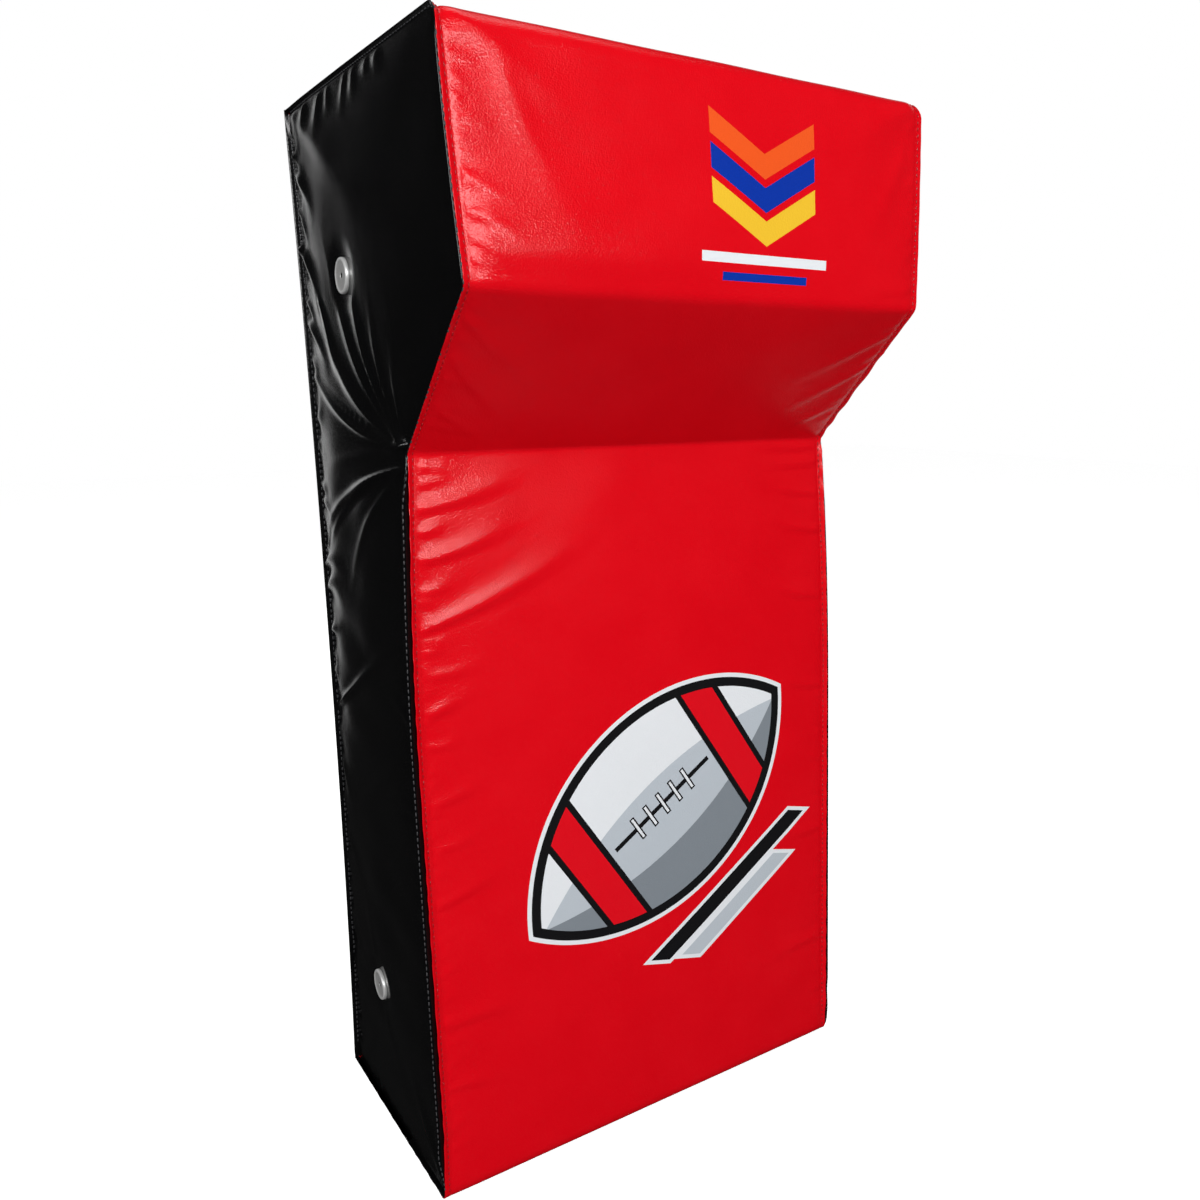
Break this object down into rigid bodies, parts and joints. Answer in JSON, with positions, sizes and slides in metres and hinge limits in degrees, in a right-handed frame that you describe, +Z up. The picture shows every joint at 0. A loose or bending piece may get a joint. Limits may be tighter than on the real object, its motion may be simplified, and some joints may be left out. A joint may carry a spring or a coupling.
{
  "type": "tackle shield",
  "caption": "Wedge-headed foam tackle shield in a glossy sewn vinyl cover, with a zipped back, padded arm straps and metal side vents.",
  "frame": {"origin": "middle of the base's flat face, half way between the body's front and back", "axes": "+Z up along the shield, -Y out of the hitting face, +Y out of the back with the arm straps, X across the width"},
  "size_m": [0.4264, 0.397, 0.9029],
  "materials": {
    "core_foam": "matt",
    "firm_foam": "matt",
    "red_vinyl": "gloss, fine leather grain",
    "black_vinyl": "gloss",
    "sleeve_vinyl": "satin",
    "zip_tape": "matt, with satin moulded teeth",
    "zip_metal": "satin",
    "vent_metal": "polished",
    "webbing": "matt"
  },
  "bodies": {
    "shield": {"core_arm_sheet": "firm_foam", "core_slab": "core_foam", "core_head_block": "core_foam", "front_cover": "red_vinyl", "side_panel_left": "black_vinyl", "side_panel_right": "black_vinyl", "back_panel": "black_vinyl", "zip_tape_upper": "zip_tape", "zip_tape_lower": "zip_tape", "zip_bottom_stop": "zip_metal", "zip_top_stop_upper": "zip_metal", "zip_top_stop_lower": "zip_metal", "vent_cap_upper_left": "vent_metal", "vent_cap_lower_left": "vent_metal", "vent_cap_upper_right": "vent_metal", "vent_cap_lower_right": "vent_metal", "vent_washer_upper_left": "vent_metal", "vent_washer_lower_left": "vent_metal", "vent_washer_upper_right": "vent_metal", "vent_washer_lower_right": "vent_metal", "arm_strap_lower": "webbing", "arm_strap_upper": "webbing", "strap_sleeve_lower": "sleeve_vinyl", "strap_sleeve_upper": "sleeve_vinyl", "strap_patch_lower_left": "black_vinyl", "strap_patch_lower_right": "black_vinyl", "strap_patch_upper_left": "black_vinyl", "strap_patch_upper_right": "black_vinyl"},
    "slider": {"zip_slider": "zip_metal"},
    "pull": {"zip_pull": "zip_metal"}
  },
  "joints": [
    {"name": "zip_slide", "type": "slide", "parent": "shield", "child": "slider", "axis": [-1, 0, 0], "range_m": [0, 0.348], "deforming": ["zip_tape_upper", "zip_tape_lower"]},
    {"name": "pull_flip", "type": "hinge", "parent": "slider", "child": "pull", "pos_m": [0.1744, 0.1236, 0.11], "axis": [0, 0, -1], "range_deg": [0, 170]}
  ]
}
